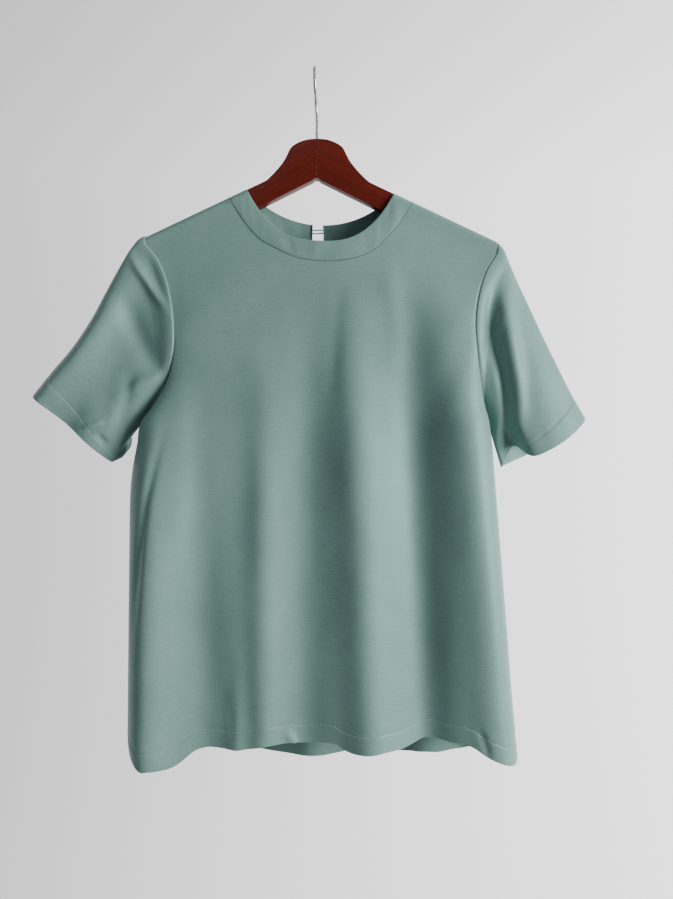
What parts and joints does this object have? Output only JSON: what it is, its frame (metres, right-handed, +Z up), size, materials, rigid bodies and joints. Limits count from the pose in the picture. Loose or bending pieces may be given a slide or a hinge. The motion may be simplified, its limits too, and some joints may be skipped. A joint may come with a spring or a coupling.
{
  "type": "t-shirt on hanger",
  "caption": "Short-sleeved woven top with a wide round neckband and a buttoned slit behind the neck, hanging on a flat wooden hanger with a wire hook.",
  "frame": {"origin": "inside of the top of the hanger's hook, where it rests on what carries it", "axes": "+Z up, -Y the garment's front, +X towards the right of someone who looks at its front"},
  "size_m": [0.6619, 0.1238, 0.8419],
  "materials": {
    "cloth": "sage green woven crepe with a soft satin sheen",
    "button": "polished, dyed to the cloth",
    "wood": "red-brown stain under satin varnish",
    "steel": "bright plated wire"
  },
  "bodies": {
    "root": {"front_panel": "cloth", "back_panel": "cloth", "sleeve_left": "cloth", "sleeve_right": "cloth", "neckband_front": "cloth", "neckband_back_left": "cloth", "neckband_back_right": "cloth", "button_loop": "cloth", "back_button": "button", "hanger_arm_left": "wood", "hanger_arm_right": "wood", "hook": "steel"}
  },
  "joints": []
}
